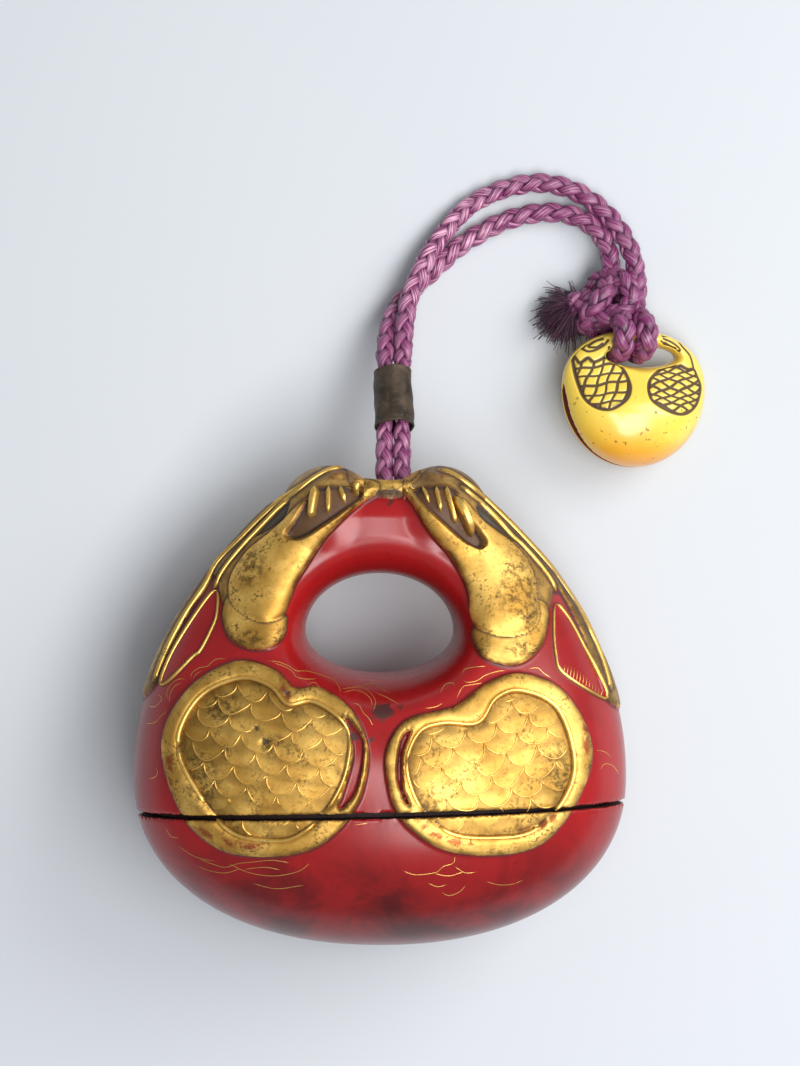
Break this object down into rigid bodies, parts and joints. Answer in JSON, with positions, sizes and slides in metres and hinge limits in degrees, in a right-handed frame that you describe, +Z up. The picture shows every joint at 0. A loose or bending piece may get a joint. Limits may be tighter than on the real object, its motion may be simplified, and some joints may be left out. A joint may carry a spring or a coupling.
{
  "type": "inro case",
  "caption": "Lacquered inro case shaped as a slit fish gong, lying on its back, with lift-off lid, doubled cord, bead and gong-shaped toggle.",
  "frame": {"origin": "on the table under the middle of the case's width and height, the case lying on its back", "axes": "+X across the case, +Y from its bottom towards the handle, +Z up from the table, out of its front"},
  "size_m": [0.08, 0.1079, 0.0383],
  "materials": {
    "lacquer": "polished red lacquer over wood, with worn gold relief",
    "bronze": "dark patinated sheet bronze",
    "ivory": "polished, stained yellow, with dark incised lines",
    "silk": "braided silk"
  },
  "bodies": {
    "root": {"lid": "lacquer", "bowl": "lacquer", "ojime_bead": "bronze", "netsuke": "ivory", "cord_strand_outer": "silk", "cord_strand_inner": "silk", "cord_knot": "silk"}
  },
  "joints": []
}
